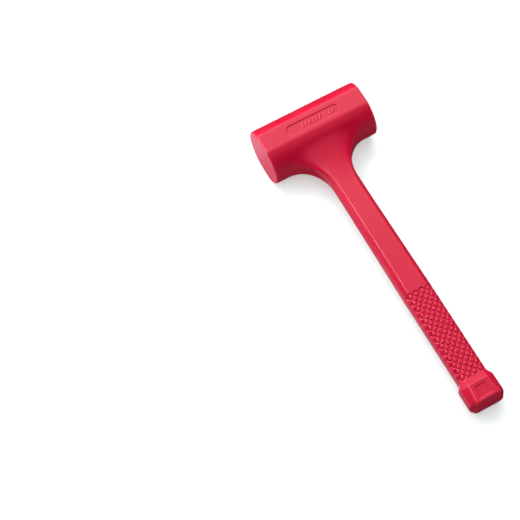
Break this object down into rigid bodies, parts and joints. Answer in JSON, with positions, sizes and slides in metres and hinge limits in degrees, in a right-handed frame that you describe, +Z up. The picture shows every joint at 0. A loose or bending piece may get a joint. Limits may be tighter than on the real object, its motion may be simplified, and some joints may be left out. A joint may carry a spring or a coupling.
{
  "type": "dead blow mallet",
  "caption": "One-piece moulded dead blow mallet: round flat-sided head, flared neck, bevelled handle with a textured grip, and loose steel shot sealed in a steel canister.",
  "frame": {"origin": "middle of the mallet's box, on the surface that it lies on", "axes": "+X along the head, +Y from the handle to the head, +Z up, out of the front flat with the mallet lying on its back"},
  "size_m": [0.113, 0.354, 0.0535],
  "materials": {
    "moulded_cover": "satin, moulded",
    "tube_steel": "drawn",
    "pressed_steel": "pressed",
    "weld_metal": "as welded",
    "rod_steel": "hot rolled",
    "shot_steel": "tumbled"
  },
  "bodies": {
    "mallet": {"cover": "moulded_cover", "canister_tube": "tube_steel", "canister_cap_left": "pressed_steel", "canister_cap_right": "pressed_steel", "canister_weld_left": "weld_metal", "canister_weld_right": "weld_metal", "core_rod": "rod_steel", "rod_weld": "weld_metal"},
    "shot_charge": {"shot_layer_01": "shot_steel", "shot_layer_02": "shot_steel", "shot_layer_03": "shot_steel", "shot_layer_04": "shot_steel", "shot_layer_05": "shot_steel", "shot_layer_06": "shot_steel", "shot_layer_07": "shot_steel", "shot_layer_08": "shot_steel", "shot_layer_09": "shot_steel", "shot_layer_10": "shot_steel", "shot_layer_11": "shot_steel", "shot_layer_12": "shot_steel"}
  },
  "joints": [
    {"name": "shot_slide", "type": "slide", "parent": "mallet", "child": "shot_charge", "axis": [1, 0, 0], "range_m": [-0.0093, 0.0093]}
  ]
}
